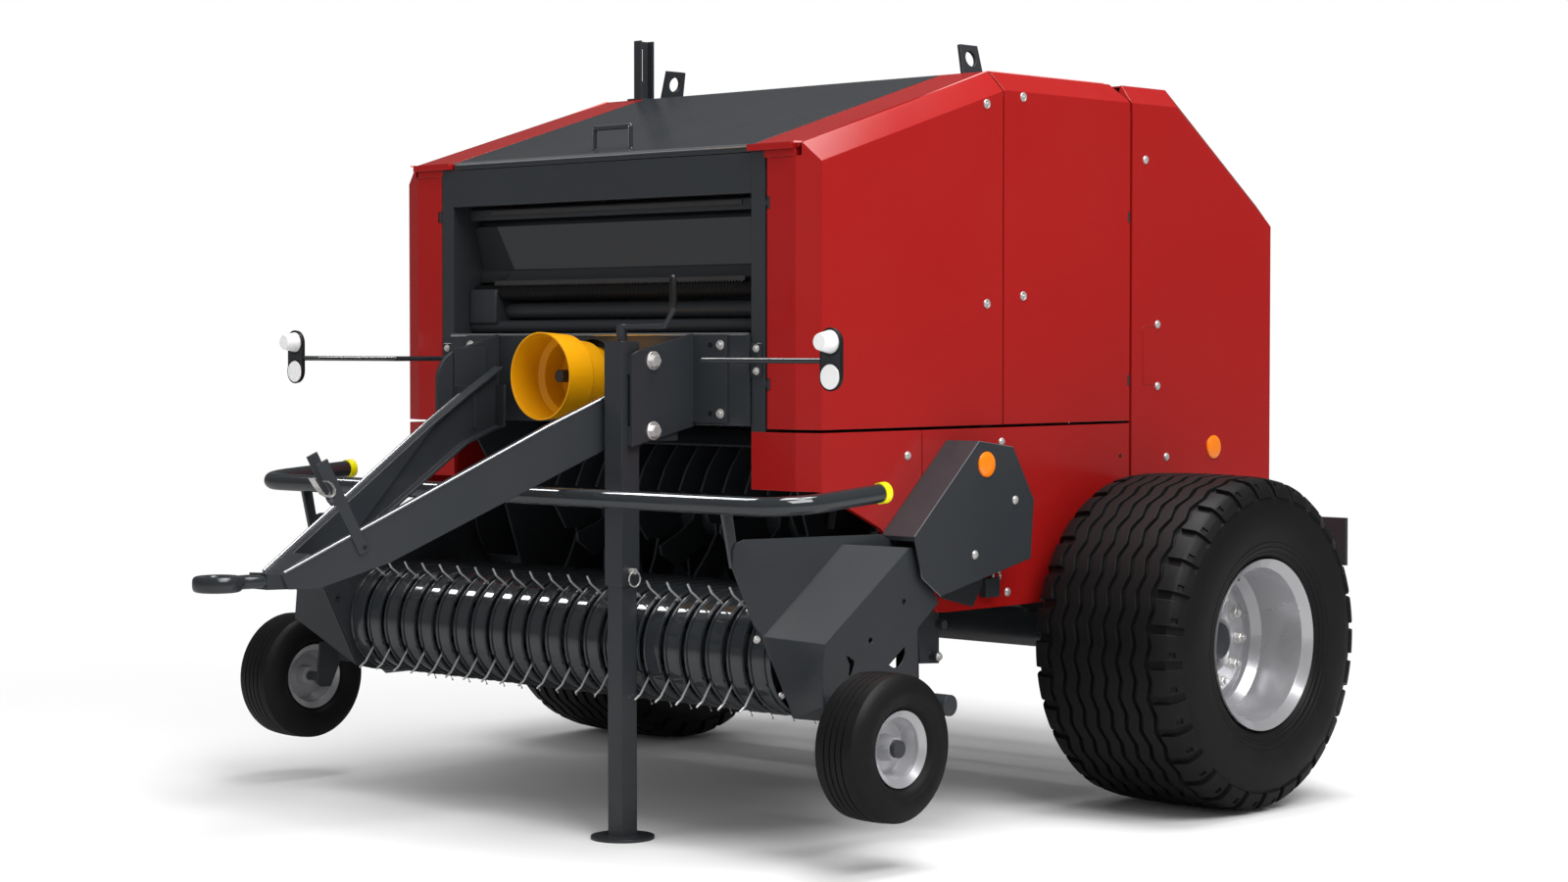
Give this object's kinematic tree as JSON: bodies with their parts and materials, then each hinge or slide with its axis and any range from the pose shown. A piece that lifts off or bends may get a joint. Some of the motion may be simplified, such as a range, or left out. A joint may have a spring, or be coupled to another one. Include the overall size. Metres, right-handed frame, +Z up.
{
  "type": "fixed-chamber round baler",
  "caption": "Trailed round baler with tine pickup, feed rotor, roller and slat chamber, hinged tailgate and doors, and a jack.",
  "frame": {"origin": "on the ground, in the middle of the machine's length and width", "axes": "+X driving direction, towards the hitch eye; +Y left; +Z up"},
  "size_m": [3.492, 2.717, 2.225],
  "materials": {
    "red_paint": "gloss enamel",
    "dark_paint": "semi-gloss enamel",
    "bare_steel": "worn steel",
    "spring_steel": "bright steel",
    "yellow_plastic": "moulded",
    "white_lens": "clear over white",
    "silver_paint": "silver enamel",
    "tyre_rubber": "matt rubber"
  },
  "bodies": {
    "frame": {"chamber_walls": "dark_paint", "chamber_rollers": "bare_steel", "front_header": "dark_paint", "front_posts": "dark_paint", "door_posts": "dark_paint", "cross_panel": "dark_paint", "roof_caps": "red_paint", "roof_panel": "dark_paint", "lower_skirts": "red_paint", "drive_covers": "dark_paint", "axle": "dark_paint", "drawbar": "dark_paint", "drawbar_eye": "dark_paint", "drawbar_brackets": "dark_paint", "gearbox": "dark_paint", "pto_guard": "yellow_plastic", "jack_tube": "dark_paint", "marker_arms": "dark_paint", "marker_lamps": "white_lens", "lifting_lugs": "dark_paint", "hose_holder": "dark_paint", "net_tray": "dark_paint", "net_rollers": "bare_steel", "feed_floor": "dark_paint", "feed_strippers": "dark_paint"},
    "roof_lid": {"roof_lid": "dark_paint"},
    "left_front_door": {"left_front_door": "red_paint"},
    "right_front_door": {"right_front_door": "red_paint"},
    "left_rear_door": {"left_rear_door": "red_paint"},
    "right_rear_door": {"right_rear_door": "red_paint"},
    "tailgate": {"tailgate_sides": "red_paint", "tailgate_back": "red_paint", "tailgate_walls": "dark_paint", "slat_conveyor": "bare_steel", "light_board": "dark_paint"},
    "left_wheel": {"left_tyre": "tyre_rubber", "left_rim": "silver_paint"},
    "right_wheel": {"right_tyre": "tyre_rubber", "right_rim": "silver_paint"},
    "pickup": {"pickup_sides": "dark_paint", "stripper_bands": "dark_paint", "pickup_beam": "dark_paint", "guard_bar": "dark_paint", "guard_caps": "yellow_plastic", "gauge_arms": "dark_paint"},
    "pickup_reel": {"pickup_reel": "dark_paint", "pickup_tines": "spring_steel"},
    "left_gauge_wheel": {"left_gauge_tyre": "tyre_rubber", "left_gauge_rim": "silver_paint"},
    "right_gauge_wheel": {"right_gauge_tyre": "tyre_rubber", "right_gauge_rim": "silver_paint"},
    "feed_rotor": {"feed_rotor": "dark_paint"},
    "jack_leg": {"jack_leg": "dark_paint"}
  },
  "joints": [
    {"name": "left_wheel_spin", "type": "hinge", "parent": "frame", "child": "left_wheel", "pos_m": [-0.846, 1.1085, 0.466], "axis": [0, 1, 0], "continuous": true},
    {"name": "right_wheel_spin", "type": "hinge", "parent": "frame", "child": "right_wheel", "pos_m": [-0.846, -1.1085, 0.466], "axis": [0, 1, 0], "continuous": true},
    {"name": "tailgate_swing", "type": "hinge", "parent": "frame", "child": "tailgate", "pos_m": [-0.91, 0, 2.01], "axis": [0, 1, 0], "range_deg": [0, 80]},
    {"name": "roof_lid_swing", "type": "hinge", "parent": "frame", "child": "roof_lid", "pos_m": [-0.406, 0, 2.035], "axis": [0, -1, 0], "range_deg": [0, 70]},
    {"name": "left_front_door_swing", "type": "hinge", "parent": "frame", "child": "left_front_door", "pos_m": [0.418, 0.654, 1.5585], "axis": [0, 0, -1], "range_deg": [0, 80]},
    {"name": "right_front_door_swing", "type": "hinge", "parent": "frame", "child": "right_front_door", "pos_m": [0.418, -0.654, 1.5585], "axis": [0, 0, 1], "range_deg": [0, 80]},
    {"name": "left_rear_door_swing", "type": "hinge", "parent": "frame", "child": "left_rear_door", "pos_m": [-0.91, 0.813, 1.5585], "axis": [0, 0, 1], "range_deg": [0, 80]},
    {"name": "right_rear_door_swing", "type": "hinge", "parent": "frame", "child": "right_rear_door", "pos_m": [-0.91, -0.813, 1.5585], "axis": [0, 0, -1], "range_deg": [0, 80]},
    {"name": "pickup_lift", "type": "hinge", "parent": "frame", "child": "pickup", "pos_m": [-0.046, 0, 0.8], "axis": [0, 1, 0], "range_deg": [0, 12]},
    {"name": "reel_spin", "type": "hinge", "parent": "pickup", "child": "pickup_reel", "pos_m": [0.469, 0, 0.499], "axis": [0, -1, 0], "continuous": true},
    {"name": "left_gauge_wheel_spin", "type": "hinge", "parent": "pickup", "child": "left_gauge_wheel", "pos_m": [0.5475, 1.156, 0.306], "axis": [0, 1, 0], "continuous": true},
    {"name": "right_gauge_wheel_spin", "type": "hinge", "parent": "pickup", "child": "right_gauge_wheel", "pos_m": [0.5475, -1.156, 0.306], "axis": [0, 1, 0], "continuous": true},
    {"name": "rotor_spin", "type": "hinge", "parent": "frame", "child": "feed_rotor", "pos_m": [-0.046, 0, 0.8], "axis": [0, 1, 0], "continuous": true},
    {"name": "jack_slide", "type": "slide", "parent": "frame", "child": "jack_leg", "axis": [0, 0, 1], "range_m": [0, 0.24]}
  ]
}
